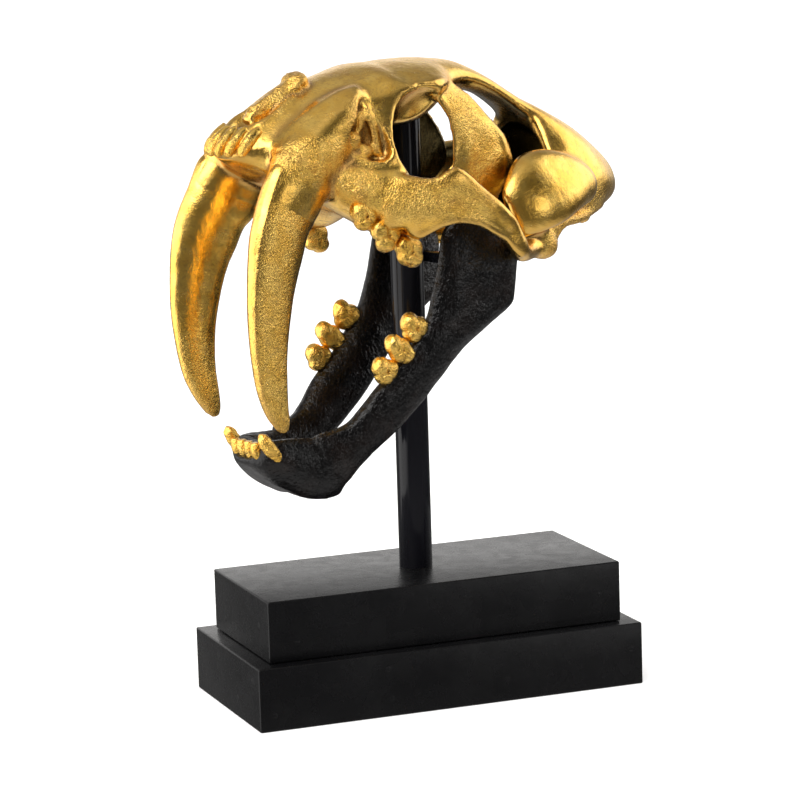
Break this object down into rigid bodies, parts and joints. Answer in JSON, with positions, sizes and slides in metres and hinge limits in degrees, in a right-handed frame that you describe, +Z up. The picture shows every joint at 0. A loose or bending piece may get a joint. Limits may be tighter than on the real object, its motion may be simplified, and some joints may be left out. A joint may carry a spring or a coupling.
{
  "type": "smilodon skull on a stand",
  "caption": "Smilodon skull with long sabre teeth and a wide-open lower jaw, held on a round post over a stepped rectangular plinth.",
  "frame": {"origin": "middle of the lower plinth's underside, on the surface it stands on", "axes": "+Z up; the plinth's long side along X; the snout points towards -X and turns 15 degrees towards -Y; the skull's left side faces -Y"},
  "size_m": [0.3718, 0.1997, 0.4758],
  "materials": {
    "gold_leaf": "hammered gold leaf, bright with fine wrinkles and a coppery tint in the hollows",
    "black_bone": "black-brown gloss over fine pitted bone texture",
    "post_black": "gloss black paint",
    "plinth_black": "satin black paint on wood, a few small dents and rubbed edges"
  },
  "bodies": {
    "root": {"cranium": "gold_leaf", "jaw_bar": "post_black", "lower_canine_left": "gold_leaf", "lower_canine_right": "gold_leaf", "lower_cheek_left_front": "gold_leaf", "lower_cheek_left_middle": "gold_leaf", "lower_cheek_left_rear": "gold_leaf", "lower_cheek_right_front": "gold_leaf", "lower_cheek_right_middle": "gold_leaf", "lower_cheek_right_rear": "gold_leaf", "lower_incisor_left_1": "gold_leaf", "lower_incisor_left_2": "gold_leaf", "lower_incisor_right_1": "gold_leaf", "lower_incisor_right_2": "gold_leaf", "mandible": "black_bone", "plinth_lower": "plinth_black", "plinth_upper": "plinth_black", "post": "post_black", "sabre_left": "gold_leaf", "sabre_right": "gold_leaf", "upper_cheek_left_front": "gold_leaf", "upper_cheek_left_middle": "gold_leaf", "upper_cheek_left_rear": "gold_leaf", "upper_cheek_right_front": "gold_leaf", "upper_cheek_right_middle": "gold_leaf", "upper_cheek_right_rear": "gold_leaf", "upper_incisor_left_1": "gold_leaf", "upper_incisor_left_2": "gold_leaf", "upper_incisor_left_3": "gold_leaf", "upper_incisor_right_1": "gold_leaf", "upper_incisor_right_2": "gold_leaf", "upper_incisor_right_3": "gold_leaf"}
  },
  "joints": []
}
